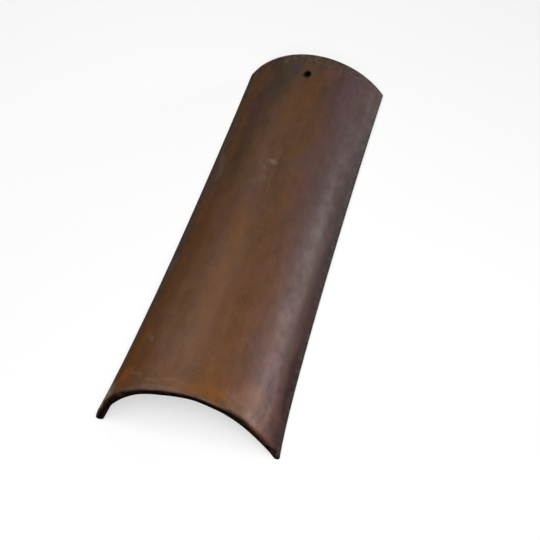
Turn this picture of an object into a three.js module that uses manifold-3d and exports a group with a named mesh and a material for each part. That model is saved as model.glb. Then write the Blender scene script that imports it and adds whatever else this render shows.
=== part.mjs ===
// Tapered barrel roof tile of fired clay, one piece.
//
// Millimetres, +Z up. The tile lies as it would on a level floor: crown up, on its two long
// edges. +Y runs from the wide butt end to the narrow head, and X runs across. The origin is
// on the floor, in the middle of the tile's outer box.
import * as THREE from "three";
import * as BufferGeometryUtils from "three/addons/utils/BufferGeometryUtils.js";
import Module from "manifold-3d";

// ---- Driving dimensions -------------------------------------------------------------------

// Plan and height, measured over the outside.
const TILE_LENGTH = 510; // along the feet, from the butt to the head
const BUTT_WIDTH = 200;
const HEAD_WIDTH = 170;
const BUTT_RISE = 79; // floor to the top of the crown
const HEAD_RISE = 50;
const TAPER_POWER = 2; // 1 tapers straight, more gathers the taper towards the butt
const BUTT_LIP = 7; // the part of the butt's width that its mouth kicks out by
const BUTT_LIP_RUN = 42; // how fast the lip dies away along the tile

const WALL = 9;

// The feet are the long edges that the tile stands on: cut flat, with both corners eased.
const FOOT_OUTER_RADIUS = 2.5;
const FOOT_INNER_RADIUS = 5;

// The ends: a flat blank bent to an arch leaves both ends leaning a little.
const BUTT_SET_BACK = 9; // the butt's crown lies this far behind its feet
const HEAD_REACH = 4.7; // the head's crown stands this far out past its feet
const END_EDGE_RADIUS = 1.6; // softened edge round both end faces

// The punched nail hole on the crown.
const NAIL_HOLE_WIDTH = 6.6;
const NAIL_HOLE_LENGTH = 8; // along the tile
const NAIL_HOLE_FROM_HEAD = 30; // from the line of the head's feet

// Fineness of the facets.
const ARCH_STEPS = 48;
const FOOT_OUTER_STEPS = 5;
const FOOT_INNER_STEPS = 5;
const LENGTH_STEPS = 28;
const END_EDGE_STEPS = 3;
const NAIL_HOLE_STEPS = 24;

// ---- Values that follow from them ---------------------------------------------------------

const CROWN_SLOPE = Math.atan2(BUTT_RISE - HEAD_RISE, TILE_LENGTH);
const BOX_CENTRE_Y = (TILE_LENGTH + HEAD_REACH) / 2;

const mix = (from, to, share) => from + (to - from) * share;
const point = (radius, turn, x, z) => new THREE.Vector2(x + radius * Math.sin(turn), z + radius * Math.cos(turn));

// The arch at u, where u runs from 0 at the butt to 1 at the head. Its outside and inside are
// arcs about one centre. The outside arc is the one that reaches the crown's rise and meets the
// rounding of the foot's outer corner just where the tile is widest.
function archAt(u) {
  const lip = BUTT_LIP * Math.exp((-u * TILE_LENGTH) / BUTT_LIP_RUN);
  const width = HEAD_WIDTH + (BUTT_WIDTH - BUTT_LIP - HEAD_WIDTH) * (1 - u) ** TAPER_POWER + lip;
  const rise = mix(BUTT_RISE, HEAD_RISE, u);
  const outerX = width / 2 - FOOT_OUTER_RADIUS;
  const outer = (outerX ** 2 + rise * (rise - 2 * FOOT_OUTER_RADIUS)) / (2 * (rise - 2 * FOOT_OUTER_RADIUS));
  const inner = outer - WALL;
  const centreZ = rise - outer;
  const innerX = Math.sqrt((inner + FOOT_INNER_RADIUS) ** 2 - (FOOT_INNER_RADIUS - centreZ) ** 2);
  return { outer, inner, centreZ, outerX, innerX };
}

// Right half of the foot, from the outside arc down, along the flat and up to the inside arc.
function footAt(arch, inset) {
  const { centreZ, outerX, innerX } = arch;
  const points = [];
  const outerTurn = Math.atan2(outerX, FOOT_OUTER_RADIUS - centreZ);
  for (let i = 0; i <= FOOT_OUTER_STEPS; i += 1) {
    const turn = mix(outerTurn, Math.PI, i / FOOT_OUTER_STEPS);
    points.push(point(FOOT_OUTER_RADIUS - inset, turn, outerX, FOOT_OUTER_RADIUS));
  }
  const innerTurn = Math.PI + Math.atan2(innerX, FOOT_INNER_RADIUS - centreZ);
  for (let i = 0; i <= FOOT_INNER_STEPS; i += 1) {
    const turn = mix(Math.PI, innerTurn, i / FOOT_INNER_STEPS);
    points.push(point(FOOT_INNER_RADIUS - inset, turn, innerX, FOOT_INNER_RADIUS));
  }
  return points;
}

// Closed outline of the tile's section at u, drawn in by an inset all round. It follows the
// outside from left to right, the right foot, the inside back to the left, and the left foot.
function sectionAt(u, inset) {
  const arch = archAt(u);
  const arc = (radius, end) => {
    const points = [];
    for (let i = 1; i < ARCH_STEPS; i += 1) {
      points.push(point(radius, end * ((2 * i) / ARCH_STEPS - 1), 0, arch.centreZ));
    }
    return points;
  };
  const outerEnd = Math.atan2(arch.outerX, FOOT_OUTER_RADIUS - arch.centreZ);
  const innerEnd = Math.atan2(arch.innerX, FOOT_INNER_RADIUS - arch.centreZ);
  const rightFoot = footAt(arch, inset);
  const leftFoot = rightFoot.map(({ x, y }) => new THREE.Vector2(-x, y)).reverse();
  return [
    ...arc(arch.outer - inset, outerEnd),
    ...rightFoot,
    ...arc(arch.inner + inset, innerEnd).reverse(),
    ...leftFoot,
  ];
}

// Places along the tile: the softened edge of the butt, even steps along the body, and the
// softened edge of the head. Each has its u, a small step along Y and an inset.
function stations() {
  const edge = [];
  for (let i = 0; i < END_EDGE_STEPS; i += 1) {
    const turn = ((i / END_EDGE_STEPS) * Math.PI) / 2;
    edge.push({ step: END_EDGE_RADIUS * (1 - Math.cos(turn)), inset: END_EDGE_RADIUS * (1 - Math.sin(turn)) });
  }
  const body = [];
  for (let i = 0; i <= LENGTH_STEPS; i += 1) {
    const u = i / LENGTH_STEPS;
    body.push({ u, step: mix(END_EDGE_RADIUS, -END_EDGE_RADIUS, u), inset: 0 });
  }
  return [
    ...edge.map(({ step, inset }) => ({ u: 0, step, inset })),
    ...body,
    ...edge.map(({ step, inset }) => ({ u: 1, step: -step, inset })).reverse(),
  ];
}

// The clay body: the section carried along the tile, closed by a flat face at each end.
function clayBody() {
  const rows = stations();
  const outlines = rows.map(({ u, inset }) => sectionAt(u, inset));
  const positions = rows.flatMap(({ u, step }, row) =>
    outlines[row].flatMap(({ x, y: z }) => {
      const buttY = (BUTT_SET_BACK * z) / BUTT_RISE;
      const headY = TILE_LENGTH + (HEAD_REACH * z) / HEAD_RISE;
      return [x, mix(buttY, headY, u) + step - BOX_CENTRE_Y, z];
    }),
  );

  const count = outlines[0].length;
  const indices = [];
  for (let row = 0; row + 1 < rows.length; row += 1) {
    for (let i = 0; i < count; i += 1) {
      const here = row * count + i;
      const next = row * count + ((i + 1) % count);
      indices.push(here, next, next + count, here, next + count, here + count);
    }
  }
  const last = (rows.length - 1) * count;
  for (const [a, b, c] of THREE.ShapeUtils.triangulateShape(outlines[0], [])) indices.push(a, b, c);
  for (const [a, b, c] of THREE.ShapeUtils.triangulateShape(outlines.at(-1), [])) {
    indices.push(last + a, last + c, last + b);
  }

  const geometry = new THREE.BufferGeometry();
  geometry.setAttribute("position", new THREE.Float32BufferAttribute(positions, 3));
  geometry.setIndex(indices);
  return geometry;
}

// The punch that makes the nail hole: oval, square to the crown and long enough to pass through.
function nailPunch() {
  const geometry = new THREE.CylinderGeometry(1, 1, WALL * 3, NAIL_HOLE_STEPS);
  geometry.scale(NAIL_HOLE_WIDTH / 2, 1, NAIL_HOLE_LENGTH / 2);
  geometry.rotateX(Math.PI / 2 - CROWN_SLOPE);
  const y = TILE_LENGTH - NAIL_HOLE_FROM_HEAD;
  const crown = mix(BUTT_RISE, HEAD_RISE, y / TILE_LENGTH);
  geometry.translate(0, y - BOX_CENTRE_Y, crown - WALL / 2);
  return geometry;
}

// ---- Booleans -----------------------------------------------------------------------------

const wasm = await Module();
wasm.setup();

function toSolid(geometry) {
  const bare = geometry.clone();
  bare.deleteAttribute("normal");
  bare.deleteAttribute("uv");
  const merged = BufferGeometryUtils.mergeVertices(bare, 1e-4);
  return new wasm.Manifold(
    new wasm.Mesh({
      numProp: 3,
      vertProperties: new Float32Array(merged.attributes.position.array),
      triVerts: new Uint32Array(merged.index.array),
    }),
  );
}

function toGeometry(solid) {
  const mesh = solid.getMesh();
  const geometry = new THREE.BufferGeometry();
  geometry.setAttribute("position", new THREE.BufferAttribute(mesh.vertProperties, 3));
  geometry.setIndex(new THREE.BufferAttribute(mesh.triVerts, 1));
  geometry.computeVertexNormals();
  return geometry;
}

// ---- The tile -----------------------------------------------------------------------------

const firedClay = new THREE.MeshStandardMaterial({ color: 0x5f4230, roughness: 0.6, metalness: 0 });

const tileSolid = toSolid(clayBody()).subtract(toSolid(nailPunch()));
const barrelTile = new THREE.Mesh(toGeometry(tileSolid), firedClay);
barrelTile.name = "barrel_tile";

const tile = new THREE.Group();
tile.add(barrelTile);

export default tile;
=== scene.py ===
"""Makes a tapered barrel roof tile of flashed clay and the studio stage that shows it.

Everything is in metres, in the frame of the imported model: the tile lies on the floor with its
crown up, its wide butt end towards -Y and its narrow head towards +Y.
"""

import math
from collections import namedtuple

import bpy
import numpy as np
from bpy.props import FloatProperty, FloatVectorProperty, IntProperty, PointerProperty
from mathutils import Matrix, Vector


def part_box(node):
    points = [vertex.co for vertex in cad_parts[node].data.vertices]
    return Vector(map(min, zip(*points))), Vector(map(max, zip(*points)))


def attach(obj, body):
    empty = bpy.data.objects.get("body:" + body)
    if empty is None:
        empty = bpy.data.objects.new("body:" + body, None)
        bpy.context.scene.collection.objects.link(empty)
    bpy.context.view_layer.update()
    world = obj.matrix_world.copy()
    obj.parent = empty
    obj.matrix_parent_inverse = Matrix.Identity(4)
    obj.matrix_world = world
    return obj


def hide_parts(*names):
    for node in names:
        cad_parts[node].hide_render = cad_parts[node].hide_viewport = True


bl_info = {
    "name": "Clay Barrel Tile",
    "version": (1, 0, 0),
    "blender": (4, 5, 0),
    "location": "View3D > Sidebar > Clay Tile",
    "description": "Makes a tapered barrel roof tile of flashed clay, and a stage to see it on",
    "category": "Add Mesh",
}

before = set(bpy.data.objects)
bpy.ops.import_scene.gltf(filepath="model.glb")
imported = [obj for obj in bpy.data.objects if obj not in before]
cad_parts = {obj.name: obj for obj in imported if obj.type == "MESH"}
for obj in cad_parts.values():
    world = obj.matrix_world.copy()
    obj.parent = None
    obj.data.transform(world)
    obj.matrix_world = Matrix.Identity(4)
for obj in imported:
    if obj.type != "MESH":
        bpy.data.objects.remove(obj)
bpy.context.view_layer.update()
CAD_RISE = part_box("barrel_tile")[1].z

# The grid of the skin.
HOLE_RING = 5  # grid steps from the middle of the nail hole to its mouth
HOLE_BLEND = 13  # grid steps from there to where the grid runs straight again
FINE_STEP = 0.001  # length of a grid step near the nail hole
COARSE_STEP = 0.0022  # length of a grid step far from it
STEP_GROWTH = 1.06  # how many times longer each step between them is than the one before
FILLET_STEPS = 6
END_EDGE_STEPS = 5
END_FACE_STEPS = 4
LIP_STEPS = 4
BORE_STEPS = 4

# The relief. A cell is the size across and along the tile of one rise and fall.
WAVE_CELL = (0.045, 0.11)
DRAG_CELL = (0.009, 0.16)
DENT_CELL = (0.012, 0.015)
UNDER_RELIEF = 1.8  # how many times deeper these are underneath
RELIEF_FADE = (0.93, 1.0)  # shares of the way round between which they die out
DISH_REACH = 0.0022
BURR_REACH = 0.0016
ROUGH_CUT_FADE = 8  # grid steps from a foot over which the rough cut dies out

# Painted shade round the mouth of the nail hole, where the dished mouth lies in shadow: its reach
# across and along the tile, and how far its middle lies to the left of the hole's and towards the
# butt.
HOLE_SHADE_REACH = (0.0010, 0.0026)
HOLE_SHADE_SHIFT = (0.0006, 0.0010)

# Where the wall is thicker inside the butt's mouth, or thinner: the middle and the reach, as
# shares of the way round from the crown to the right foot, and the height in metres.
MOUTH_SWELLS = (
    (-0.88, 0.10, -0.0008),
    (-0.42, 0.10, -0.0004),
    (-0.14, 0.12, 0.0010),
    (0.14, 0.10, -0.0013),
    (0.36, 0.08, -0.0004),
    (0.72, 0.18, 0.0019),
)

# The camera, in millimetres, degrees and metres. The softboxes face the middle of the light.
CAMERA_LENS = 81.93
CAMERA_SENSOR = 36.0
CAMERA_AZIMUTH = 23.12
CAMERA_ELEVATION = 53.67
CAMERA_ROLL = -8.18
CAMERA_DISTANCE = 1.3367
CAMERA_TARGET = (0.03211, -0.0529, 0.030)
LIGHT_MIDDLE = (0.0, -0.10, 0.05)

# The section at one place: the radii of its outer and inner arc, the height of their centre,
# how far out the centres of the feet's outer and inner rounding lie, and how far each arc turns
# from straight up before it meets its rounding.
Arch = namedtuple("Arch", "outer inner centre outer_x inner_x outer_end inner_end")


def metres(default, name, text, low=0.0, high=1.0):
    """A length that the user can change."""
    return FloatProperty(
        name=name, description=text, default=default, min=low, max=high, precision=4,
        subtype="DISTANCE", unit="LENGTH",
    )


def amount(default, name, text, high=100.0):
    """A plain number from 0 up that the user can change."""
    return FloatProperty(name=name, description=text, default=default, min=0.0, max=high)


def factor(default, name, text, high=1.0):
    """A share that the user can change, from 0 up to a limit."""
    return FloatProperty(
        name=name, description=text, default=default, min=0.0, max=high, subtype="FACTOR"
    )


def colour(default, name, text):
    """A scene-linear colour that the user can change."""
    return FloatVectorProperty(
        name=name, description=text, default=default, min=0.0, max=1.0, size=3, subtype="COLOR"
    )


def watts(default, name, text):
    """The power of a light that the user can change."""
    return FloatProperty(
        name=name, description=text, default=default, min=0.0, subtype="POWER", unit="POWER"
    )


class TileSizes(bpy.types.PropertyGroup):
    """Sizes of the clay body."""

    length: metres(0.510, "Length", "Length along the feet, from the butt to the head")
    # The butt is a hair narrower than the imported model's, which keeps it inside that box.
    butt_width: metres(0.19997, "Butt width", "Width over the outside at the wide end")
    head_width: metres(0.170, "Head width", "Width over the outside at the narrow end")
    butt_rise: metres(CAD_RISE, "Butt rise", "Height of the crown over the floor at the butt")
    head_rise: metres(0.050, "Head rise", "Height of the crown over the floor at the head")
    butt_lip: metres(0.007, "Butt lip", "Part of the butt's width that its mouth kicks out by")
    lip_run: metres(0.042, "Lip run", "Length along which the lip falls to about a third")
    wall: metres(0.009, "Wall", "Thickness of the clay")
    foot_outer_radius: metres(0.0025, "Foot outer radius", "Rounding of the outer corner")
    foot_inner_radius: metres(0.005, "Foot inner radius", "Rounding of the inner corner")
    butt_set_back: metres(0.009, "Butt set back", "How far the butt's crown lies behind its feet")
    head_reach: metres(0.0047, "Head reach", "How far the head's crown stands past its feet")
    end_edge_radius: metres(0.0016, "End edge radius", "Softening round both end faces")
    hole_width: metres(0.0066, "Hole width", "Nail hole across the tile")
    hole_length: metres(0.008, "Hole length", "Nail hole along the tile")
    hole_lip: metres(0.0005, "Hole lip", "Rounding of the nail hole's mouth")
    hole_from_head: metres(0.030, "Hole from head", "Nail hole to the line of the head's feet")


class ClayFinish(bpy.types.PropertyGroup):
    """Colours, gloss and relief of the fired clay."""

    warm_clay: colour((0.116, 0.047, 0.018), "Warm clay", "Fired clay towards the butt")
    mid_clay: colour((0.088, 0.040, 0.019), "Mid clay", "Fired clay halfway along")
    head_clay: colour((0.064, 0.033, 0.018), "Head clay", "Duller clay towards the head")
    ember: colour((0.134, 0.052, 0.012), "Ember", "Bright orange along the butt's edge")
    ochre: colour((0.106, 0.047, 0.018), "Ochre", "Yellow-brown stripe below the nail hole")
    umber: colour((0.062, 0.031, 0.015), "Umber", "Darker brown clouds")
    rust: colour((0.110, 0.042, 0.012), "Rust", "Orange where the flame was clean")
    flame: colour((0.126, 0.043, 0.007), "Flame", "Strongest orange-red")
    tan: colour((0.114, 0.053, 0.027), "Tan", "Dusty tan on the left shoulder")
    olive: colour((0.082, 0.046, 0.014), "Olive", "Yellow-brown clouds")
    dusk: colour((0.088, 0.050, 0.034), "Dusk", "Dull brown low on the left flank")
    smoke: colour((0.042, 0.029, 0.024), "Smoke", "Grey smoke near the edges")
    moss: colour((0.042, 0.030, 0.016), "Moss", "Green-grey smoke near the head")
    slate: colour((0.040, 0.031, 0.030), "Slate", "Blue-grey mark beside the nail hole")
    lilac: colour((0.090, 0.048, 0.058), "Lilac", "Coldest bloom near the head")
    mauve: colour((0.082, 0.045, 0.045), "Mauve", "Mauve bloom on the right flank")
    bloom: colour((0.112, 0.050, 0.036), "Bloom", "Warmer bloom lower on the right flank")
    blush: colour((0.124, 0.055, 0.032), "Blush", "Palest part of the right shoulder")
    # Partly clay colour and partly painted highlight: it brightens the right flank near the butt,
    # where the side softbox's sheen falls.
    pink_and_highlight: colour((0.150, 0.066, 0.068), "Pink", "Pinkest bloom near the butt")
    salmon: colour((0.172, 0.076, 0.045), "Salmon", "Pale edge of the butt")
    plum: colour((0.066, 0.027, 0.030), "Plum", "Smoked red clay")
    maroon: colour((0.050, 0.016, 0.011), "Maroon", "Dark red edge near the butt")
    soot: colour((0.028, 0.011, 0.010), "Soot", "Nearly black smoke marks")
    sand: colour((0.220, 0.140, 0.100), "Sand", "Pale specks")
    dust: colour((0.185, 0.118, 0.088), "Dust", "Pale dust on the arris, in scuffs and flecks")
    # Used for scuffs, and as painted highlight in the pale band along the butt's outer arris.
    worn: colour((0.128, 0.080, 0.064), "Worn", "Worn arris of the butt")
    dune: colour((0.165, 0.092, 0.045), "Dune", "Sandy patch at the butt")
    # Painted highlight: pinkish white where the side softbox's sheen falls on the right flank near
    # the butt.
    petal_highlight: colour((0.230, 0.125, 0.105), "Petal", "Pinkish white patch at the butt")
    flash: colour((0.172, 0.058, 0.010), "Flash", "Orange spots on the left flank")
    spark: colour((0.300, 0.064, 0.008), "Spark", "Brightest orange spots at the butt's left corner")
    # Also painted highlight: its patch on the butt's left foot stands for light caught where the
    # arris band runs out.
    chalk_and_highlight: colour((0.360, 0.310, 0.250), "Chalk", "Pale crust on the butt's left foot")
    grime: colour((0.030, 0.027, 0.026), "Grime", "Grey dirt low on both sides")
    crust: colour((0.115, 0.100, 0.084), "Crust", "Paler crust over the dirt")
    under_clay: colour((0.105, 0.046, 0.020), "Under clay", "Plain clay underneath")
    # Painted shade: near black on the cut end faces and in the nail hole, which lie in shadow.
    char: colour((0.004, 0.0025, 0.002), "Char", "Blackened cut ends and nail hole")
    skin_specular: factor(0.3, "Skin specular", "Specular level of the fired skin")
    # Specular level of the faces that carry the painted shade, kept low so that they stay dark.
    shade_specular: factor(0.05, "Char specular", "Specular level of the charred faces")
    wave_depth: metres(0.00035, "Wave depth", "Broad unevenness left by hand finishing")
    drag_depth: metres(0.00010, "Drag depth", "Faint lines that the die drew along the clay")
    dent_depth: metres(0.00010, "Dent depth", "Small soft dents")
    dish_depth: metres(0.00035, "Dish depth", "How deep the clay round the nail hole was pushed in")
    burr_height: metres(0.0007, "Burr height", "How far clay stands out round the hole underneath")
    cut_depth: metres(0.00025, "Cut depth", "Roughness of the cut end faces")
    swell_run: metres(0.020, "Swell run", "How far in the butt's mouth is uneven")
    wear_height: metres(0.010, "Wear height", "How far up the butt's right foot is worn")
    foot_wear: factor(0.42, "Foot wear", "Share of that foot's width worn away inside", 0.6)
    seed: IntProperty(name="Seed", description="Start of the random relief", default=11, min=0)


class StageLook(bpy.types.PropertyGroup):
    """Floor and lights."""

    floor: colour((0.45, 0.45, 0.447), "Floor", "Colour of the floor")
    floor_glow: amount(0.53, "Floor glow", "Light added to the floor that is seen")
    floor_bounce: colour((0.055, 0.055, 0.055), "Floor bounce", "What the floor throws back")
    floor_size: metres(12.0, "Floor size", "Side of the square floor", 1.0, 40.0)
    air: amount(0.0, "Air", "Brightness of the room")
    backdrop: amount(0.53, "Backdrop", "Brightness behind the floor")
    top_power: watts(34.0, "Top softbox", "Power of the softbox high over the butt")
    front_power: watts(9.6, "Front softbox", "Power of the small softbox before the butt")
    side_power: watts(33.0, "Side softbox", "Power of the softbox low on the right")
    back_power: watts(1.7, "Back softbox", "Power of the softbox behind the head")


def mix(start, stop, share):
    """Runs from start to stop as share runs from 0 to 1."""
    return start + (stop - start) * share


def smooth(low, high, value):
    """0 below low, 1 above high and an S-shaped curve between them."""
    share = np.clip((value - low) / (high - low), 0.0, 1.0)
    return share * share * (3.0 - 2.0 * share)


def bell(distance, reach):
    """1 at no distance, falling to about a third at the reach, as a bell curve."""
    return np.exp(-((distance / reach) ** 2))


def clay_waves(across, along, cell, rng):
    """Smooth random heights from 0 to 1.

    Random heights stand at the corners of a lattice of the given cells, and the heights
    between them are mixed by S-shaped weights.
    """
    column = (across - across.min()) / cell[0]
    row = (along - along.min()) / cell[1]
    heights = rng.random((int(row.max()) + 2, int(column.max()) + 2))
    i, j = row.astype(int), column.astype(int)
    down = smooth(0.0, 1.0, row - i)
    over = smooth(0.0, 1.0, column - j)
    near = mix(heights[i, j], heights[i, j + 1], over)
    far = mix(heights[i + 1, j], heights[i + 1, j + 1], over)
    return mix(near, far, down)


def spread(length):
    """Distances from 0 to length: even fine steps, then steps that grow up to the coarse one."""
    fine_steps = HOLE_RING + HOLE_BLEND
    growth = STEP_GROWTH ** np.maximum(np.arange(int(length / FINE_STEP)) - fine_steps, 0)
    marks = np.concatenate([[0.0], np.cumsum(np.minimum(FINE_STEP * growth, COARSE_STEP))])
    marks = marks[: np.searchsorted(marks, length) + 1]
    fine_end = marks[fine_steps]
    stretch = (length - fine_end) / (marks[-1] - fine_end)
    return np.where(marks > fine_end, fine_end + (marks - fine_end) * stretch, marks)


def arch(sizes, u):
    """The arch at u, where u runs from 0 at the butt to 1 at the head.

    The width eases from the butt's to the head's along a parabola, with a lip that dies away
    at the butt, and the rise falls evenly. The outside is the arc that reaches the crown and
    meets the foot's outer rounding where the tile is widest. The inside has the same centre.
    """
    lip = sizes.butt_lip * np.exp(-u * sizes.length / sizes.lip_run)
    plain = sizes.butt_width - sizes.butt_lip - sizes.head_width
    width = sizes.head_width + plain * (1.0 - u) ** 2 + lip
    rise = mix(sizes.butt_rise, sizes.head_rise, u)
    straight = rise - 2.0 * sizes.foot_outer_radius
    outer_x = width / 2.0 - sizes.foot_outer_radius
    outer = (outer_x**2 + rise * straight) / (2.0 * straight)
    centre = rise - outer
    inner = outer - sizes.wall
    round_centre = sizes.foot_inner_radius - centre
    inner_x = np.sqrt((inner + sizes.foot_inner_radius) ** 2 - round_centre**2)
    outer_end = np.arctan2(outer_x, sizes.foot_outer_radius - centre)
    return Arch(outer, inner, centre, outer_x, inner_x, outer_end, np.arctan2(inner_x, round_centre))


def bend(middle_x, middle_z, radius, turn, side=1.0):
    """Points on an arc, turned from straight up, as x, z and the outward normal's x and z.

    The side is -1 for an arc whose clay lies outside it.
    """
    right, up = np.sin(turn), np.cos(turn)
    return [middle_x + radius * right, middle_z + radius * up, side * right, side * up]


def mirrored(points):
    """The same points on the left foot, in the other order."""
    x, z, normal_x, normal_z = (part[:, ::-1] for part in points)
    return [-x, z, -normal_x, normal_z]


def loop_at(sizes, u_row, u_arc, share, inset):
    """Points round the section, one row for each place along the tile.

    The first half goes over the outside from the middle of the left foot to the middle of the
    right foot, and the second half comes back inside. Point i of the first half faces point
    -1 - i across the wall. share runs from -1 to 1 over the arcs. Returns x, z and the
    section's outward normal, as arrays of rows by points.
    """
    foot = arch(sizes, u_row)
    outer_radius, inner_radius = sizes.foot_outer_radius, sizes.foot_inner_radius
    quarter = np.arange(FILLET_STEPS + 1)[None, :] / FILLET_STEPS
    turn = mix(foot.outer_end, math.pi, quarter[:, 1:])
    out_round = bend(foot.outer_x, outer_radius, outer_radius - inset, turn)
    turn = mix(math.pi, math.pi + foot.inner_end, quarter[:, :-1])
    in_round = bend(foot.inner_x, inner_radius, inner_radius - inset, turn)
    level = np.ones(u_row.shape)
    out_flat = [mix(foot.outer_x, foot.inner_x, 1 / 3), inset * level, 0 * level, -level]
    in_flat = [mix(foot.outer_x, foot.inner_x, 2 / 3), inset * level, 0 * level, -level]
    outer_foot = [np.concatenate(pair, axis=1) for pair in zip(out_round, out_flat)]
    inner_foot = [np.concatenate(pair, axis=1) for pair in zip(in_flat, in_round)]

    body = arch(sizes, u_arc)
    outer_arc = bend(0.0, body.centre, body.outer - inset, share * body.outer_end)
    inner_arc = bend(0.0, body.centre, body.inner + inset, share * body.inner_end, -1.0)
    inner_arc = [part[:, ::-1] for part in inner_arc]
    parts = [mirrored(outer_foot), outer_arc, outer_foot, inner_foot, inner_arc, mirrored(inner_foot)]
    return [np.concatenate(group, axis=1) for group in zip(*parts)]


class Section:
    """Where the arcs and the feet lie in a row of points round the section."""

    def __init__(self, columns):
        self.foot = FILLET_STEPS + 1
        self.half = columns + 2 * self.foot
        self.count = 2 * self.half
        self.outer = slice(self.foot, self.half - self.foot)
        self.inner = slice(self.half + self.foot, self.count - self.foot)

    def on_arcs(self, base, values):
        """Puts values on the outer arc, and across the wall from them on the inner one."""
        base[:, self.outer] = values
        base[:, self.inner] = values[:, ::-1]
        return base


def round_the_hole(across, along, column, row, mouth):
    """Bends a square grid so that it runs round the nail hole in ovals.

    A point k steps from the hole's middle, counted along the longer of its two offsets, moves
    from its square of side 2k onto an oval of its own. The move is whole at the mouth, whose
    half width and half length are given, and fades to nothing HOLE_BLEND steps further out.
    Returns the moved places, each point's turn round the hole and its k.
    """
    k = np.maximum(np.abs(column), np.abs(row))
    safe = np.maximum(k, 1)
    eighth = math.pi / 4.0
    by_row, by_column = eighth * row / safe, eighth * column / safe
    turn = np.where(
        np.abs(column) >= np.abs(row),
        np.where(column >= 0, by_row, math.pi - by_row),
        np.where(row >= 0, 2 * eighth - by_column, -2 * eighth + by_column),
    )
    half_side = np.maximum(np.abs(across), np.abs(along))
    grow = half_side - half_side[k == HOLE_RING].max()
    weight = np.where(k < HOLE_RING, 0.0, 1.0 - smooth(HOLE_RING, HOLE_RING + HOLE_BLEND, k))
    across = mix(across, (mouth[0] + grow) * np.cos(turn), weight)
    return across, mix(along, (mouth[1] + grow) * np.sin(turn), weight), turn, k


def hole_place(sizes):
    """The u at which the crown lies straight over the middle of the nail hole."""
    u = np.linspace(0.0, 1.0, 1001)
    rise = mix(sizes.butt_rise, sizes.head_rise, u)
    butt_y = sizes.butt_set_back * rise / sizes.butt_rise
    head_y = sizes.length + sizes.head_reach * rise / sizes.head_rise
    crown_y = mix(butt_y, head_y, u) + sizes.end_edge_radius * (1.0 - 2.0 * u)
    return float(np.interp(sizes.length - sizes.hole_from_head, crown_y, u))


def tile_rows(sizes, hole_u):
    """The rows of the grid: u, step in from the end and inset below the skin, as columns.

    They are fine round the nail hole. At each end the rows go round the softened edge in a
    quarter turn. Also returns the number of the row through the hole's middle.
    """
    edge, hole_y = sizes.end_edge_radius, hole_u * sizes.length
    to_butt, to_head = spread(hole_y), spread(sizes.length - hole_y)
    body = (hole_y + np.concatenate([-to_butt[:0:-1], to_head])) / sizes.length
    turn = np.arange(END_EDGE_STEPS) / END_EDGE_STEPS * math.pi / 2.0
    edge_step, edge_inset = edge * (1.0 - np.cos(turn)), edge * (1.0 - np.sin(turn))
    u = np.concatenate([0.0 * turn, body, 1.0 + 0.0 * turn])
    step = np.concatenate([edge_step, mix(edge, -edge, body), -edge_step[::-1]])
    inset = np.concatenate([edge_inset, 0.0 * body, edge_inset[::-1]])
    return u[:, None], step[:, None], inset[:, None], END_EDGE_STEPS + len(to_butt) - 1


def hand_relief(finish, across, along, rng):
    """How deep hand finishing, the die and small knocks went into the clay, point by point."""
    depth = finish.wave_depth * clay_waves(across, along, WAVE_CELL, rng)
    depth = depth + finish.drag_depth * clay_waves(across, along, DRAG_CELL, rng)
    return depth + finish.dent_depth * clay_waves(across, along, DENT_CELL, rng)


def relief_depth(finish, section, share, half_arc, from_butt, from_rim, rng):
    """How deep the relief lies under the plain skin, and less than 0 where it stands out."""
    depth = np.zeros(from_butt.shape)

    # Waves, drag lines and dents take clay away, and die out towards the feet.
    flat, keep = share * half_arc, 1.0 - smooth(*RELIEF_FADE, np.abs(share))
    depth[:, section.outer] = hand_relief(finish, flat, from_butt[:, section.outer], rng) * keep
    under = hand_relief(finish, flat[:, ::-1], from_butt[:, section.inner], rng)
    depth[:, section.inner] = under * UNDER_RELIEF * keep[:, ::-1]

    # The butt was trimmed by hand, so inside its mouth the wall is a little uneven.
    swell = sum(height * bell(share - place, reach) for place, reach, height in MOUTH_SWELLS)
    swell = swell * bell(from_butt[:, section.outer], finish.swell_run)
    depth[:, section.inner] -= swell[:, ::-1]

    # The nail was pushed in from outside: a dished mouth, and a raised burr underneath.
    depth[:, section.outer] += finish.dish_depth * bell(from_rim, DISH_REACH)
    depth[:, section.inner] -= finish.burr_height * bell(from_rim, BURR_REACH)[:, ::-1]
    return depth


def past_arris(sizes):
    """How far the flat of an end face lies past its outer arris: its outer and its inner side."""
    near = sizes.end_edge_radius * math.pi / 4.0
    return near, near + sizes.wall - 2.0 * sizes.end_edge_radius


def arris_distance(sizes, along, outside):
    """How far each point lies past the outer arris of the nearer end, and less than 0 on the skin.

    The rounded edge is half an arc before the arris and half an arc past it, and the inner
    edge starts where the wall ends.
    """
    near, far = past_arris(sizes)
    past = -near - np.minimum(along, sizes.length - along)
    over = np.arange(END_EDGE_STEPS)[:, None] / END_EDGE_STEPS
    edge = mix(np.where(outside[:END_EDGE_STEPS] > 0.0, near, far), -near, over)
    past[:END_EDGE_STEPS], past[-END_EDGE_STEPS:] = edge, edge[::-1]
    return past


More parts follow.
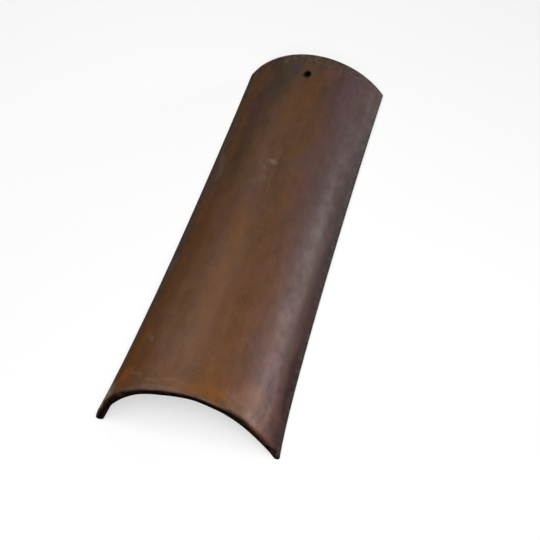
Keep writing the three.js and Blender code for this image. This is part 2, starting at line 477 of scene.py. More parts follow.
def tile_grid(sizes, finish, rng):
    """Points and masks of the skin, and what the nail hole needs to know of the grid.

    The grid bends round the nail hole, is laid on the arcs and then gets its relief, which
    moves each point along the section's normal.
    """
    hole_u = hole_place(sizes)
    u_row, step, inset, hole_row = tile_rows(sizes, hole_u)
    hole_arch = arch(sizes, np.array(hole_u))
    half_arc = float(hole_arch.outer * hole_arch.outer_end)
    side = spread(half_arc)
    across = np.concatenate([-side[:0:-1], side])
    section = Section(len(across))

    row, column = np.indices((len(u_row), len(across)))
    half_hole = np.array([sizes.hole_width, sizes.hole_length]) / 2.0
    across, along = np.broadcast_arrays(across, (u_row - hole_u) * sizes.length)
    across, along, turn, k = round_the_hole(
        across, along, column - (len(side) - 1), row - hole_row, half_hole + sizes.hole_lip
    )
    share = across / half_arc
    u_arc = hole_u + along / sizes.length
    x, z, normal_x, normal_z = loop_at(sizes, u_row, u_arc, share, inset)
    u = section.on_arcs(np.broadcast_to(u_row, x.shape).copy(), u_arc)
    from_butt = u * sizes.length
    edge = sizes.end_edge_radius
    step = np.where(inset > 0.0, step, mix(edge, -edge, u))

    rim = np.hypot(half_hole[0] * np.cos(turn), half_hole[1] * np.sin(turn))
    from_rim = np.hypot(across, along) - rim
    depth = relief_depth(finish, section, share, half_arc, from_butt, from_rim, rng)
    x, z = x - normal_x * depth, z - normal_z * depth

    # At the butt the inside of the right foot is worn away, so the wall narrows downwards.
    worn = finish.foot_wear * bell(z, finish.wear_height) * bell(from_butt, finish.swell_run)
    worn[:, : section.half] = 0.0
    foot_x = arch(sizes, u).outer_x
    x = np.where(x > 0.0, foot_x - (foot_x - x) * (1.0 - worn), x)

    butt_y = sizes.butt_set_back * z / sizes.butt_rise
    head_y = sizes.length + sizes.head_reach * z / sizes.head_rise
    y = mix(butt_y, head_y, u) + step - (sizes.length + sizes.head_reach) / 2.0

    outside, around, soot = np.zeros(x.shape), np.full(x.shape, 1.0), np.zeros(x.shape)
    outside[:, : section.half] = 1.0
    around[:, : section.foot] = around[:, section.count - section.foot :] = -1.0
    # The "bore" mask, kept in soot, is painted shade: it falls off round the hole's mouth, where the
    # dished mouth lies in shadow.
    from_hole_shade = np.hypot(across + HOLE_SHADE_SHIFT[0], along + HOLE_SHADE_SHIFT[1]) - rim
    hole_shade_reach = mix(*HOLE_SHADE_REACH, np.abs(np.sin(turn)))
    soot[:, section.outer] = bell(np.maximum(from_hole_shade - sizes.hole_lip, 0.0), hole_shade_reach)
    masks = {
        "outer_skin": outside,
        "around": section.on_arcs(around, share),
        "along": u,
        "bore": soot,
        "past_arris": arris_distance(sizes, from_butt, outside),
    }
    return np.stack([x, y, z], axis=-1), masks, section, turn, k, hole_u


def grid_faces(section, removed):
    """Quads between neighbouring rows and columns of a grid whose columns close in a ring."""
    row, column = np.indices(removed.shape)
    this = row * section.count + column
    right = row * section.count + (column + 1) % section.count
    quads = np.stack([this, right, right + section.count, this + section.count], axis=-1)
    return quads[~removed]


def bore_rings(sizes, top, bottom):
    """Rings of points down the nail hole, from its outer mouth, top, to its inner one, bottom.

    Each ring is the outer mouth's outline, moved in by the rounding of the lip and down the
    punch's axis, which stands square to the crown. The lips are quarter rounds, and the bore
    between them is straight.
    """
    slope = math.atan2(sizes.butt_rise - sizes.head_rise, sizes.length)
    axis = np.array([0.0, math.sin(slope), math.cos(slope)])
    hub = top.mean(axis=0)
    top_height, bottom_height = (top - hub) @ axis, (bottom - hub) @ axis
    outward = top - hub - top_height[:, None] * axis
    mouth = np.linalg.norm(outward, axis=1)
    outward /= mouth[:, None]
    turn = np.arange(1, LIP_STEPS + 1) / LIP_STEPS * math.pi / 2.0
    lip_in = sizes.hole_lip * np.sin(turn)
    lip_down = sizes.hole_lip * (1.0 - np.cos(turn)) / sizes.wall
    inset = np.concatenate([lip_in, np.full(BORE_STEPS, sizes.hole_lip), lip_in[::-1][1:]])
    bore_down = mix(lip_down[-1], 1.0 - lip_down[-1], np.arange(1, BORE_STEPS + 1) / BORE_STEPS)
    depth = np.concatenate([lip_down, bore_down, (1.0 - lip_down)[::-1][1:]])
    height = mix(top_height, bottom_height, depth[:, None])
    return hub + outward * (mouth - inset[:, None])[..., None] + axis * height[..., None]


def end_face(finish, skin, outer, inner, first, butt, rng):
    """A grid across the wall at one end, roughly cut, between two edges of the skin.

    Its rows are even shares of the way from the outer edge to the inner one. Returns its own
    points, numbered from first on, its quads and the two polygons that close it at the feet.
    """
    half = len(outer)
    shares = np.arange(1, END_FACE_STEPS)[:, None, None] / END_FACE_STEPS
    between = mix(skin[outer], skin[inner], shares)
    from_foot = np.minimum(np.arange(half), np.arange(half)[::-1])
    rough = finish.cut_depth * rng.random(between.shape[:2]) * smooth(0, ROUGH_CUT_FADE, from_foot)
    between[..., 1] += rough if butt else -rough
    ids = first + np.arange(len(between) * half).reshape(-1, half)
    ids = np.concatenate([outer[None], ids, inner[None]])
    quads = np.stack([ids[1:, 1:-2], ids[1:, 2:-1], ids[:-1, 2:-1], ids[:-1, 1:-2]], axis=-1)
    left = [ids[0, 0], ids[-1, 0], *ids[::-1, 1]]
    right = [*ids[:, -2], ids[-1, -1], ids[0, -1]]
    order = slice(None) if butt else slice(None, None, -1)
    return between.reshape(-1, 3), quads.reshape(-1, 4)[:, order], [left[order], right[order]]


def nail_hole(sizes, section, skin, turn, k):
    """The bore's own points and its quads, from the ring of its outer mouth to the inner one."""
    row, column = np.nonzero(k == HOLE_RING)
    order = np.argsort(turn[row, column])
    row, column = row[order], column[order]
    upper = row * section.count + section.foot + column
    lower = row * section.count + section.count - 1 - section.foot - column
    rings = bore_rings(sizes, skin[upper], skin[lower])
    ids = len(skin) + np.arange(rings.shape[0] * rings.shape[1]).reshape(rings.shape[:2])
    this = np.concatenate([upper[None], ids, lower[None]])
    following = np.roll(this, -1, axis=1)
    quads = np.stack([following[:-1], following[1:], this[1:], this[:-1]], axis=-1)
    return rings.reshape(-1, 3), quads.reshape(-1, 4)


def clay_mesh(points, masks, quads, polygons, skin_quads):
    """A mesh of the points that a face uses, whose masks are attributes of its points.

    The first faces, as many as skin_quads, are the skin, and all the others, the cut ends and the
    nail hole, carry the painted shade.
    """
    used = np.unique(np.concatenate([quads.reshape(-1), *polygons]))
    renumber = np.full(len(points), -1)
    renumber[used] = np.arange(len(used))
    loops = renumber[quads].tolist() + [renumber[polygon].tolist() for polygon in polygons]
    mesh = bpy.data.meshes.new("clay_tile_body")
    mesh.from_pydata(points[used].tolist(), [], loops)
    # The faces past the skin get the second material, which carries the painted shade.
    shadowed = np.arange(len(loops)) >= skin_quads
    mesh.polygons.foreach_set("material_index", shadowed.astype(np.int32))
    for name, values in masks.items():
        layer = mesh.attributes.new(name, "FLOAT", "POINT")
        layer.data.foreach_set("value", values[used].astype(np.float32))
    mesh.validate()
    mesh.shade_smooth()
    return mesh


def build_body(sizes, finish):
    """The closed clay body as a mesh.

    The skin is a grid carried round the section and along the tile. Square patches of it are
    left out on the crown, outside and inside, and their edges are joined through the wall as
    the nail hole. Each end is closed by a grid from the outer edge to the inner one.
    """
    rng = np.random.default_rng(finish.seed)
    points, skin_masks, section, hole_turn, hole_k, hole_u = tile_grid(sizes, finish, rng)
    skin = points.reshape(-1, 3)
    inside = section.on_arcs(np.zeros(points.shape[:2], dtype=bool), hole_k <= HOLE_RING)
    removed = inside[:-1] & inside[1:]
    removed = removed & np.roll(removed, -1, axis=1)
    bore_points, bore_quads = nail_hole(sizes, section, skin, hole_turn, hole_k)
    vertices = [skin, bore_points]
    faces = [grid_faces(section, removed), bore_quads]
    # In the nail hole the "bore" mask is 1: its walls carry the painted shade.
    bore_masks = {"outer_skin": 0.0, "around": 0.0, "along": hole_u, "bore": 1.0, "past_arris": 0.0}
    blocks = [{name: mask.reshape(-1) for name, mask in skin_masks.items()}, bore_masks]

    polygons = []
    half_row = np.arange(section.half)
    past = mix(*past_arris(sizes), np.arange(1, END_FACE_STEPS) / END_FACE_STEPS)
    for row, butt in ((0, True), (len(points) - 1, False)):
        outer = row * section.count + half_row
        inner = (row + 1) * section.count - 1 - half_row
        first = sum(len(block) for block in vertices)
        between, quads, corners = end_face(finish, skin, outer, inner, first, butt, rng)
        vertices.append(between)
        faces.append(quads)
        polygons += corners
        blocks.append({
            "outer_skin": 0.0,
            "around": np.tile(skin_masks["around"][row, : section.half], END_FACE_STEPS - 1),
            "along": 0.0 if butt else 1.0,
            "bore": 0.0,
            "past_arris": np.repeat(past, section.half),
        })

    masks = {
        name: np.concatenate([
            np.broadcast_to(block[name], len(part)) for block, part in zip(blocks, vertices)
        ])
        for name in skin_masks
    }
    return clay_mesh(np.concatenate(vertices), masks, np.concatenate(faces), polygons, len(faces[0]))


class Nodes:
    """Adds shader nodes and wires them, so that a pattern reads as one line."""

    def __init__(self, tree):
        self.tree = tree
        tree.nodes.clear()

    def add(self, kind, inputs=(), **settings):
        """A node whose inputs are given as sockets to wire from or as plain values."""
        node = self.tree.nodes.new("ShaderNode" + kind)
        for name, value in settings.items():
            setattr(node, name, value)
        for key, value in dict(inputs).items():
            if isinstance(value, bpy.types.NodeSocket):
                self.tree.links.new(value, node.inputs[key])
            else:
                node.inputs[key].default_value = value
        return node

    def sum(self, first, second, operation="ADD"):
        """Two numbers joined by an operation."""
        return self.add("Math", {0: first, 1: second}, operation=operation).outputs[0]

    def product(self, *parts):
        """All the parts multiplied."""
        total = parts[0]
        for part in parts[1:]:
            total = self.sum(total, part, "MULTIPLY")
        return total

    def vector(self, operation, first, second):
        """Two vectors joined by an operation, or a vector scaled by a number."""
        key = "Scale" if operation == "SCALE" else 1
        return self.add("VectorMath", {0: first, key: second}, operation=operation).outputs[0]

    def ramp(self, value, low, high, start=0.0, stop=1.0):
        """Runs along an S-shaped curve from start to stop as the value goes from low to high."""
        span = {"Value": value, "From Min": low, "From Max": high, "To Min": start, "To Max": stop}
        return self.add("MapRange", span, interpolation_type="SMOOTHSTEP").outputs["Result"]

    def blend(self, share, first, second):
        """Runs from the first colour to the second as the share goes from 0 to 1."""
        first, second = (
            end if isinstance(end, bpy.types.NodeSocket) else (*end, 1.0) for end in (first, second)
        )
        return self.add("MixRGB", {"Fac": share, "Color1": first, "Color2": second}).outputs[0]

    def noise(self, place, scale, detail=2.0, rough=0.5, stretch=(1.0, 1.0, 1.0), shift=0.0):
        """Cloudy noise of about 0.3 to 0.7, with so many clouds to the metre."""
        location = {"Vector": place, "Location": (shift, shift, shift), "Scale": stretch}
        inputs = {"Scale": scale, "Detail": detail, "Roughness": rough}
        inputs["Vector"] = self.add("Mapping", location).outputs[0]
        return self.add("TexNoise", inputs).outputs["Fac"]

    def patch(self, place, centre, reach, turn=0.0, edge=(0.0, 0.7)):
        """1 in the middle of a soft oval laid round and along the tile, and 0 outside it."""
        spot = {
            "Vector": place,
            "Location": (*centre, 0.0),
            "Rotation": (0.0, 0.0, math.radians(turn)),
            "Scale": (*reach, 1.0),
        }
        oval = self.add("Mapping", spot, vector_type="TEXTURE").outputs[0]
        ball = self.add("TexGradient", {"Vector": oval}, gradient_type="SPHERICAL").outputs["Fac"]
        return self.ramp(ball, *edge)


def clay_colour(nodes, finish, loose):
    """Base colour of the flashed clay, as zones that the kiln's smoke and flame left on it, some of
    which also carry painted highlight.

    Each zone is a soft oval given by its middle and its reach round and along the tile, its
    turn in degrees, how strongly it covers and its tone. Round the tile runs from -1 at the
    left foot over 0 at the crown to 1 at the right foot, and along it from 0 at the butt to 1.
    """
    axes = nodes.add("SeparateXYZ", {"Vector": loose}).outputs
    around, along = axes["X"], axes["Y"]
    colour = nodes.blend(nodes.ramp(along, 0.0, 0.60), finish.warm_clay, finish.mid_clay)
    colour = nodes.blend(nodes.ramp(along, 0.70, 0.98), colour, finish.head_clay)
    colour = nodes.blend(nodes.ramp(around, -0.40, -0.66, 0.0, 0.60), colour, finish.rust)
    mauve = nodes.blend(nodes.ramp(along, 0.20, 0.62), finish.bloom, finish.mauve)
    colour = nodes.blend(nodes.ramp(around, 0.22, 0.58, 0.0, 0.90), colour, mauve)

    for centre, reach, turn, share, tone in (
        # Left flank and shoulder.
        ((-0.30, 0.14), (0.28, 0.34), 0.0, 0.75, finish.tan),
        ((-0.68, 0.36), (0.12, 0.20), 0.0, 0.60, finish.umber),
        ((-0.63, 0.06), (0.20, 0.14), 0.0, 0.95, finish.ember),
        ((-0.88, 0.16), (0.08, 0.20), 0.0, 0.30, finish.soot),
        ((-0.86, 0.42), (0.10, 0.20), 0.0, 0.50, finish.smoke),
        ((-0.72, 0.87), (0.12, 0.16), 12.0, 0.80, finish.rust),
        ((-0.42, 0.70), (0.26, 0.19), 0.0, 0.80, finish.umber),
        ((-0.34, 0.47), (0.16, 0.10), 10.0, 0.40, finish.bloom),
        ((-0.86, 0.72), (0.14, 0.26), 0.0, 0.75, finish.dusk),
        ((-0.66, 0.74), (0.10, 0.09), 0.0, 0.45, finish.smoke),
        ((-0.60, 0.58), (0.14, 0.16), 0.0, 0.60, finish.dusk),
        # Head.
        ((-0.44, 0.86), (0.20, 0.15), -10.0, 0.50, finish.plum),
        ((-0.30, 0.90), (0.17, 0.13), -8.0, 0.70, finish.moss),
        ((-0.50, 0.93), (0.10, 0.07), 0.0, 0.60, finish.olive),
        ((-0.15, 0.94), (0.17, 0.045), 0.0, 0.80, finish.slate),
        ((-0.10, 1.0), (0.60, 0.036), 0.0, 0.80, finish.moss),
        ((-0.06, 0.75), (0.10, 0.16), -16.0, 0.75, finish.ochre),
        ((0.06, 0.86), (0.09, 0.10), -20.0, 0.60, finish.rust),
        ((0.17, 0.84), (0.10, 0.12), -20.0, 0.65, finish.ochre),
        ((0.25, 0.94), (0.15, 0.06), 0.0, 0.75, finish.bloom),
        ((0.58, 0.90), (0.20, 0.14), 0.0, 0.50, finish.lilac),
        ((0.82, 0.90), (0.10, 0.09), 0.0, 0.70, finish.plum),
        ((0.98, 0.92), (0.14, 0.12), 0.0, 0.80, finish.mauve),
        # Crown.
        ((-0.07, 0.34), (0.13, 0.26), 15.0, 0.75, finish.flame),
        ((-0.07, 0.61), (0.08, 0.12), 8.0, 0.60, finish.bloom),
        ((0.05, 0.65), (0.05, 0.10), 0.0, 0.50, finish.ochre),
        ((0.22, 0.68), (0.13, 0.10), 0.0, 0.35, finish.olive),
        ((0.12, 0.60), (0.16, 0.08), 0.0, 0.45, finish.umber),
        ((0.20, 0.02), (0.30, 0.06), 0.0, 0.80, finish.ember),
        # Right flank and edge.
        ((0.40, 0.62), (0.16, 0.16), 0.0, 0.60, finish.mauve),
        ((0.43, 0.28), (0.16, 0.26), 0.0, 0.75, finish.blush),
        ((0.66, 0.34), (0.09, 0.10), 0.0, 0.60, finish.maroon),
        # Pink bloom near the butt, partly painted highlight of the side softbox's sheen, in patches.
        ((0.64, 0.27), (0.09, 0.05), 20.0, 0.60, finish.pink_and_highlight),
        ((0.68, 0.11), (0.15, 0.13), 0.0, 0.90, finish.pink_and_highlight),
        ((0.58, 0.02), (0.24, 0.09), 0.0, 0.90, finish.salmon),
        ((0.80, 0.24), (0.10, 0.14), 0.0, 0.65, finish.mauve),
        ((0.73, 0.76), (0.13, 0.13), 0.0, 0.60, finish.lilac),
        ((0.83, 0.64), (0.11, 0.17), 0.0, 0.95, finish.maroon),
        ((0.98, 0.68), (0.16, 0.30), 0.0, 0.90, finish.smoke),
        ((0.95, 0.42), (0.16, 0.20), 0.0, 0.75, finish.plum),
        ((0.96, 0.08), (0.15, 0.32), 0.0, 0.95, finish.maroon),
    ):
        zone = nodes.patch(loose, centre, reach, turn)
        colour = nodes.blend(nodes.product(zone, share), colour, tone)
    return colour


def low_dirt(nodes, finish, place, colour, around, along):
    """Grey dirt and paler crust low on both sides and along the head's edge, and orange flashes.

    Each layer of dirt is spots of noise, so many to the metre, stretched round the tile. Its
    shares say how strongly it covers low on the left, low on the right and at the head.
    """
    uneven = nodes.ramp(nodes.noise(place, 13.0, 3.0, 0.60, shift=9.7), 0.36, 0.58, 0.45, 1.0)
    side = nodes.sum(around, nodes.ramp(along, 0.10, 0.26, 0.09, 0.0))
    fading = nodes.ramp(along, 0.62, 0.76, 1.0, 0.60)
    left = nodes.product(nodes.ramp(side, -0.58, -0.78), uneven, fading)
    right = nodes.ramp(around, 0.88, 0.98)
    head = nodes.ramp(along, 0.955, 0.990)
    for scale, stretch, shift, span, shares, tone in (
        (90.0, 1.0, 8.3, (0.36, 0.64, 0.30, 1.0), (0.14, 0.95, 0.10), finish.grime),
        (115.0, 0.55, 1.3, (0.42, 0.60), (0.90, 0.35, 0.0), finish.crust),
        (150.0, 0.55, 5.9, (0.52, 0.64), (0.50, 0.75, 0.0), finish.soot),
        (310.0, 0.50, 4.8, (0.50, 0.58), (0.50, 0.35, 0.25), finish.soot),
        (330.0, 0.50, 2.2, (0.50, 0.58), (0.70, 0.40, 0.30), finish.crust),
        (150.0, 1.0, 3.6, (0.50, 0.62), (0.0, 0.0, 0.55), finish.soot),
        (170.0, 1.0, 6.7, (0.52, 0.64), (0.0, 0.30, 0.45), finish.crust),
    ):
        spots = nodes.noise(place, scale, 2.0, 0.60, (stretch, 1.0, stretch), shift)
        low = nodes.sum(nodes.product(left, shares[0]), nodes.product(right, shares[1]))
        low = nodes.sum(low, nodes.product(head, shares[2]), "MAXIMUM")
        colour = nodes.blend(nodes.product(nodes.ramp(spots, *span), low), colour, tone)

    # The flashes lie over the dirt, high on the left flank.
    flash = nodes.ramp(nodes.noise(place, 120.0, 3.0, 0.6, (0.5, 0.8, 0.5), 3.9), 0.47, 0.62)
    flank = nodes.product(
        nodes.ramp(side, -0.46, -0.60),
        nodes.ramp(side, -0.80, -0.66, 0.35, 1.0),
        nodes.ramp(along, 0.84, 0.62, 0.15, 0.50),
        nodes.ramp(along, 0.03, 0.10, 0.30, 1.0),
    )
    return nodes.blend(nodes.product(flank, flash), colour, finish.flash)


def worn_marks(nodes, finish, place, firm, colour):
    """Scuffs, dust, bright spots and painted highlights, given as the zones are, with borders that
    break up.
    """
    broken = nodes.ramp(nodes.noise(place, 260.0, 3.0, 0.6, shift=2.6), 0.36, 0.60, 0.35, 1.0)
    for centre, reach, turn, share, tone in (
        # Painted highlight: a pale band along the butt's rounded outer arris, where it catches the
        # light.
        ((-0.34, 0.000), (0.46, 0.012), 0.0, 0.80, finish.worn),
        # Painted highlight: a pale patch where the arris band runs out over the left foot.
        ((-0.88, 0.014), (0.28, 0.046), 0.0, 1.00, finish.chalk_and_highlight),
        ((-0.24, 0.085), (0.13, 0.080), -12.0, 0.30, finish.worn),
        ((-0.35, 0.150), (0.07, 0.070), -8.0, 0.25, finish.worn),
        ((-0.62, 0.041), (0.15, 0.013), 0.0, 0.65, finish.spark),
        ((-0.57, 0.056), (0.09, 0.010), 0.0, 0.45, finish.spark),
        ((-0.56, 0.150), (0.12, 0.024), 0.0, 0.80, finish.flash),
        ((-0.46, 0.132), (0.06, 0.008), -12.0, 0.65, finish.dust),
        ((-0.66, 0.530), (0.075, 0.020), 0.0, 0.85, finish.flash),
        ((-0.56, 0.680), (0.07, 0.030), 0.0, 0.55, finish.flame),
        ((-0.64, 0.640), (0.12, 0.040), -20.0, 0.35, finish.worn),
        ((-0.62, 0.630), (0.10, 0.014), -20.0, 0.55, finish.crust),
        ((-0.45, 0.040), (0.13, 0.008), -6.8, 0.32, finish.dust),
        ((-0.27, 0.019), (0.14, 0.006), -3.0, 0.25, finish.dust),
        ((0.25, 0.020), (0.18, 0.016), 0.0, 0.80, finish.flash),
        ((0.33, 0.008), (0.08, 0.010), 0.0, 0.60, finish.moss),
        ((0.44, 0.014), (0.14, 0.020), 0.0, 0.60, finish.dune),
        # Painted highlights on the right flank near the butt, where the side softbox's sheen falls.
        ((0.59, 0.012), (0.07, 0.016), 0.0, 0.80, finish.petal_highlight),
        ((0.73, 0.075), (0.05, 0.070), 0.0, 0.50, finish.petal_highlight),
        ((-0.16, 0.022), (0.20, 0.007), 1.5, 0.25, finish.dust),
        ((0.06, 0.046), (0.14, 0.030), 0.0, 0.50, finish.umber),
        ((0.44, 0.030), (0.16, 0.007), -3.0, 0.35, finish.dust),
        ((0.03, 0.634), (0.055, 0.012), -4.0, 0.22, finish.chalk_and_highlight),
        ((-0.03, 0.635), (0.040, 0.012), 0.0, 0.45, finish.dust),
        ((-0.05, 0.611), (0.040, 0.012), 0.0, 0.35, finish.dust),
        ((-0.03, 0.584), (0.060, 0.014), 0.0, 0.30, finish.dust),
    ):
        mark = nodes.patch(firm, centre, reach, turn, (0.0, 0.6))
        colour = nodes.blend(nodes.product(mark, broken, share), colour, tone)
    return colour


def mottle(nodes, finish, place, colour, around):
    """Clouds, streaks and specks that break up the zones."""
    # Hues drift from rust to grey over a few centimetres.
    warm = nodes.noise(place, 30.0, 4.0, 0.60, (1.0, 0.30, 1.0), 0.7)
    colour = nodes.blend(nodes.ramp(warm, 0.50, 0.72, 0.0, 0.45), colour, finish.rust)
    cool = nodes.noise(place, 34.0, 4.0, 0.60, (1.0, 0.40, 1.0), 5.2)
    colour = nodes.blend(nodes.ramp(cool, 0.54, 0.74, 0.0, 0.40), colour, finish.mauve)
    bruise = nodes.noise(place, 95.0, 4.0, 0.60, (1.0, 0.50, 1.0), 12.4)
    bruised = nodes.product(nodes.ramp(around, 0.48, 0.68), nodes.ramp(bruise, 0.48, 0.66), 0.50)
    colour = nodes.blend(bruised, colour, finish.plum)
    olive = nodes.noise(place, 38.0, 3.0, 0.60, (1.0, 0.30, 1.0), 9.1)
    colour = nodes.blend(nodes.ramp(olive, 0.54, 0.76, 0.0, 0.40), colour, finish.olive)

    # Light and dark drift over a centimetre, and then from grain to grain.
    tone = 1.0
    for scale, detail, rough, stretch, shift, low, high, change in (
        (62.0, 3.0, 0.55, (1.0, 0.06, 1.0), 2.3, 0.32, 0.68, 0.06),
        (240.0, 3.0, 0.60, (1.0, 0.10, 1.0), 6.3, 0.32, 0.68, 0.035),
        (80.0, 5.0, 0.65, (1.0, 0.70, 1.0), 4.4, 0.30, 0.70, 0.10),
        (620.0, 3.0, 0.70, (1.0, 1.0, 1.0), 1.9, 0.30, 0.70, 0.08),
    ):
        drift = nodes.noise(place, scale, detail, rough, stretch, shift)
        tone = nodes.sum(nodes.ramp(drift, low, high, -change, change), tone)
    shaded = nodes.vector("SCALE", colour, tone)

    # Specks of sand and iron.
    pale = nodes.ramp(nodes.noise(place, 330.0, 2.0, 0.6, shift=7.7), 0.66, 0.78, 0.0, 0.35)
    dark = nodes.ramp(nodes.noise(place, 260.0, 2.0, 0.6, shift=3.3), 0.66, 0.76, 0.0, 0.45)
    return nodes.blend(dark, nodes.blend(pale, shaded, finish.sand), finish.soot)


def shade_edge(nodes, place, spot, past):
    """1 on the end faces, where shade is painted, with a soft border that wanders to and fro across
    the arris.

    Each patch moves the border by so many metres on to the skin, or off it if less than 0.
    """
    ragged = nodes.noise(place, 45.0, 3.0, 0.50, shift=7.2)
    wander = nodes.ramp(ragged, 0.30, 0.70, -0.0008, 0.0008)
    for middle, reach, move in (
        (-0.64, 0.22, 0.0030),
        (-0.38, 0.16, 0.0012),
        (-0.16, 0.14, -0.0006),
        (0.08, 0.16, 0.0014),
        (0.24, 0.14, 0.0012),
        (0.50, 0.20, 0.0024),
        (0.73, 0.17, -0.0034),
        (0.93, 0.10, 0.0034),
    ):
        lobe = nodes.patch(spot, (middle, 0.0), (reach, 0.3))
        wander = nodes.sum(wander, nodes.product(lobe, move))
    return nodes.ramp(nodes.sum(past, wander), -0.0018, 0.0030)


def end_shade_colour(nodes, finish, place, around, past):
    """Painted shade on the end faces, near black, with brown and reddish patches of the clay's own
    colour on their outer half.
    """
    clay_showing = nodes.ramp(nodes.noise(place, 150.0, 3.0, 0.60, shift=4.1), 0.44, 0.62)
    clay_showing = nodes.product(clay_showing, nodes.ramp(past, 0.0060, 0.0035))
    foot = nodes.ramp(around, -0.98, -0.85)
    left = nodes.product(nodes.ramp(around, -0.30, -0.60, 0.10, 0.35), foot)
    right = nodes.ramp(around, 0.45, 0.70, 0.0, 0.60)
    char = nodes.blend(nodes.product(clay_showing, left), finish.char, finish.ember)
    return nodes.blend(nodes.product(clay_showing, right), char, finish.bloom)


def under_colour(nodes, finish, place):
    """Plain clay underneath, which the flame never reached, with clouds and specks of sand."""
    plain = nodes.noise(place, 26.0, 6.0, 0.62, (1.0, 0.4, 1.0))
    under = nodes.blend(nodes.ramp(plain, 0.30, 0.75, 0.0, 0.75), finish.under_clay, finish.umber)
    sand = nodes.ramp(nodes.noise(place, 420.0, 3.0, 0.7), 0.58, 0.72, 0.0, 0.35)
    return nodes.blend(sand, under, finish.sand)


def fired_clay(finish, name, specular):
    """Flashed fired clay: warm brown, smoked grey at the edges, and near black as painted shade on
    the cut ends and in the nail hole.
    """
    material = bpy.data.materials.new(name)
    material.use_nodes = True
    nodes = Nodes(material.node_tree)
    place = nodes.add("TexCoord").outputs["Object"]
    around, along, outer, bore, past = (
        nodes.add("Attribute", attribute_name=mask).outputs["Fac"]
        for mask in ("around", "along", "outer_skin", "bore", "past_arris")
    )

    # The edges of the zones wander, because noise moves the places where they are looked up.
    # It moves those of the marks too, but by much less.
    spot = nodes.add("CombineXYZ", {"X": around, "Y": along}).outputs[0]
    clouds = {"Vector": place, "Scale": 16.0, "Detail": 6.0, "Roughness": 0.62}
    clouds = nodes.add("TexNoise", clouds).outputs["Color"]
    drift = nodes.vector("SUBTRACT", clouds, (0.5, 0.5, 0.5))
    drift = nodes.vector("MULTIPLY", drift, (0.40, 0.20, 0.0))
    colour = clay_colour(nodes, finish, nodes.vector("ADD", spot, drift))
    colour = low_dirt(nodes, finish, place, colour, around, along)
    firm = nodes.vector("ADD", spot, nodes.vector("SCALE", drift, 0.12))
    colour = worn_marks(nodes, finish, place, firm, colour)
    colour = mottle(nodes, finish, place, colour, around)
    colour = nodes.blend(outer, under_colour(nodes, finish, place), colour)
    # Painted shade: the cut end faces, which lie in shadow, turn near black, with a border that
    # wanders across the arris.
    shade_mask = shade_edge(nodes, place, spot, past)
    char = end_shade_colour(nodes, finish, place, around, past)
    colour = nodes.blend(nodes.product(shade_mask, 0.97), colour, char)
    # Painted shade in the nail hole and round its mouth.
    colour = nodes.blend(bore, colour, finish.char)

    # The surface grows duller towards the head, unevenly, and duller still on the cut ends and in the
    # nail hole, where shade is painted.
    uneven = nodes.noise(place, 110.0, 4.0, 0.6, (1.0, 0.6, 1.0), 6.6)
    uneven = nodes.ramp(uneven, 0.3, 0.7, -0.04, 0.05)
    dull = nodes.sum(nodes.ramp(along, 0.25, 1.0, 0.45, 0.56), uneven)
    shade_rough = nodes.sum(nodes.product(shade_mask, 0.1), nodes.product(bore, 0.4), "MAXIMUM")
    grit = nodes.noise(place, 520.0, 4.0, 0.65, (1.0, 0.8, 1.0), 8.8)
    relief = nodes.add("Bump", {"Height": grit, "Strength": 0.25, "Distance": 0.0005})
    shader = nodes.add("BsdfPrincipled", {
        "Base Color": colour,
        "Roughness": nodes.sum(dull, shade_rough),
        "IOR": 1.5,
        "Specular IOR Level": specular,
        "Normal": relief.outputs[0],
    })
    nodes.add("OutputMaterial", {"Surface": shader.outputs[0]})
    return material


def link(obj):
    """Puts an object into the scene."""
    bpy.context.scene.collection.objects.link(obj)
    return obj


class CLAYTILE_OT_body(bpy.types.Operator):
    """Makes the clay body of the tile and gives it its fired finish"""

    bl_idname = "clay_tile.body"
    bl_label = "Clay Body"

    def execute(self, context):
        scene = context.scene
        finish = scene.clay_finish
        mesh = build_body(scene.tile_sizes, finish)
        mesh.materials.append(fired_clay(finish, "fired_clay", finish.skin_specular))
        # The cut ends and the nail hole get the material of the painted shade, with its lower
        # specular level.
        mesh.materials.append(fired_clay(finish, "shade_painted_clay", finish.shade_specular))
        body = link(bpy.data.objects.new("clay_tile_body", mesh))
        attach(body, "root")
        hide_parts("barrel_tile")
        return {"FINISHED"}


def floor_paper(look):
    """Matt pale paper, lit a little from below, that throws back less light than it shows."""
    material = bpy.data.materials.new("floor_paper")
    material.use_nodes = True
    nodes = Nodes(material.node_tree)
    seen = nodes.add("LightPath").outputs["Is Camera Ray"]
    paper = nodes.add("BsdfDiffuse", {"Color": nodes.blend(seen, look.floor_bounce, look.floor)})
    glow = nodes.add("Emission", {"Strength": nodes.product(seen, look.floor_glow)})
    both = nodes.add("AddShader", {0: paper.outputs[0], 1: glow.outputs[0]})
    nodes.add("OutputMaterial", {"Surface": both.outputs[0]})
    return material


def studio_floor(look):
    """A square floor at the height that the tile lies on."""
    half = look.floor_size / 2.0
    corners = [(-half, -half, 0), (half, -half, 0), (half, half, 0), (-half, half, 0)]
    mesh = bpy.data.meshes.new("studio_floor")
    mesh.from_pydata(corners, [], [(0, 1, 2, 3)])
    mesh.materials.append(floor_paper(look))
    return link(bpy.data.objects.new("studio_floor", mesh))


def studio_air(look):
    """A world that shows as a pale backdrop and lights the room only as much as its air does."""
    world = bpy.data.worlds.new("studio")
    world.use_nodes = True
    nodes = Nodes(world.node_tree)
    seen = nodes.add("LightPath").outputs["Is Camera Ray"]
    strength = nodes.add("MapRange", {"Value": seen, "To Min": look.air, "To Max": look.backdrop})
    white = {"Color": (1.0, 1.0, 1.0, 1.0), "Strength": strength.outputs["Result"]}
    backdrop = nodes.add("Background", white)
    nodes.add("OutputWorld", {"Surface": backdrop.outputs[0]})
    return world


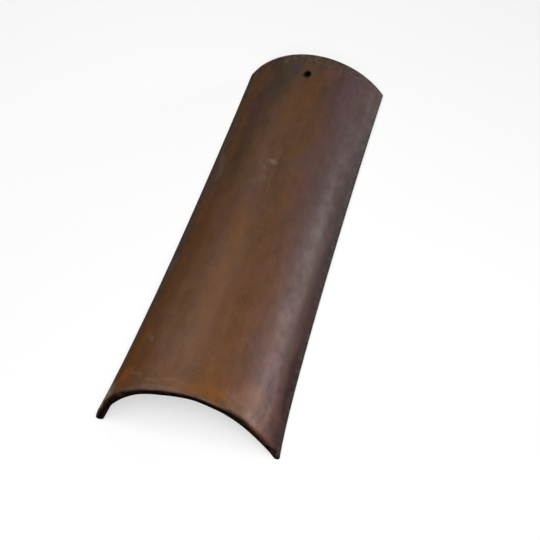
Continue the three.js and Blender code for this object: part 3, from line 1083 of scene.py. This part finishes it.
def aim(obj, place, target, roll=0.0):
    """Puts an object at place and points its -Z at target, turned by roll about that line."""
    back = (Vector(place) - Vector(target)).normalized()
    right = Vector((0.0, 0.0, 1.0)).cross(back).normalized()
    up = back.cross(right)
    turned_right = right * math.cos(roll) + up * math.sin(roll)
    turned_up = up * math.cos(roll) - right * math.sin(roll)
    rotation = Matrix((turned_right, turned_up, back)).transposed().to_4x4()
    obj.matrix_world = Matrix.Translation(place) @ rotation


def softbox(name, place, size, power):
    """A rectangular area light that faces the middle of the light."""
    light = bpy.data.lights.new(name, "AREA")
    light.shape = "RECTANGLE"
    light.size, light.size_y = size
    light.energy = power
    aim(link(bpy.data.objects.new(name, light)), place, LIGHT_MIDDLE)


def studio_camera():
    """A camera over the butt's right corner, turned a little clockwise."""
    camera = bpy.data.cameras.new("camera")
    camera.lens = CAMERA_LENS
    camera.sensor_width = CAMERA_SENSOR
    azimuth, elevation = math.radians(CAMERA_AZIMUTH), math.radians(CAMERA_ELEVATION)
    back = Vector((
        math.sin(azimuth) * math.cos(elevation),
        -math.cos(azimuth) * math.cos(elevation),
        math.sin(elevation),
    ))
    holder = link(bpy.data.objects.new("camera", camera))
    target = Vector(CAMERA_TARGET)
    aim(holder, target + back * CAMERA_DISTANCE, target, math.radians(CAMERA_ROLL))
    return holder


class CLAYTILE_OT_stage(bpy.types.Operator):
    """Makes the floor, the softboxes and the camera"""

    bl_idname = "clay_tile.stage"
    bl_label = "Stage"

    def execute(self, context):
        scene = context.scene
        look = scene.stage_look
        studio_floor(look)
        scene.world = studio_air(look)
        softbox("top_softbox", (-0.10, -0.50, 2.25), (1.6, 1.6), look.top_power)
        softbox("front_softbox", (0.40, -0.80, 1.10), (0.6, 0.6), look.front_power)
        softbox("side_softbox", (2.47, 1.62, 0.35), (0.9, 0.5), look.side_power)
        softbox("back_softbox", (-0.42, 0.50, 0.85), (0.24, 0.30), look.back_power)
        scene.camera = studio_camera()
        scene.view_settings.view_transform = "Standard"
        return {"FINISHED"}


class CLAYTILE_PT_panel(bpy.types.Panel):
    """Lists the steps that make the tile"""

    bl_idname = "CLAYTILE_PT_panel"
    bl_label = "Clay Tile"
    bl_space_type = "VIEW_3D"
    bl_region_type = "UI"
    bl_category = "Clay Tile"

    def draw(self, context):
        layout = self.layout
        layout.operator("clay_tile.body")
        layout.operator("clay_tile.stage")
        for group in (context.scene.tile_sizes, context.scene.clay_finish, context.scene.stage_look):
            column = layout.column(align=True)
            for name in group.bl_rna.properties.keys():
                if name not in ("rna_type", "name"):
                    column.prop(group, name)


CLASSES = (TileSizes, ClayFinish, StageLook, CLAYTILE_OT_body, CLAYTILE_OT_stage, CLAYTILE_PT_panel)
GROUPS = {"tile_sizes": TileSizes, "clay_finish": ClayFinish, "stage_look": StageLook}


def register():
    """Registers the classes and puts the settings on the scene."""
    for cls in CLASSES:
        bpy.utils.register_class(cls)
    for name, group in GROUPS.items():
        setattr(bpy.types.Scene, name, PointerProperty(type=group))


def unregister():
    """Takes the settings and the classes away again."""
    for name in GROUPS:
        delattr(bpy.types.Scene, name)
    for cls in reversed(CLASSES):
        bpy.utils.unregister_class(cls)


def main():
    """Makes the tile and its stage."""
    register()
    bpy.ops.clay_tile.stage()
    bpy.ops.clay_tile.body()


if __name__ == "__main__":
    main()
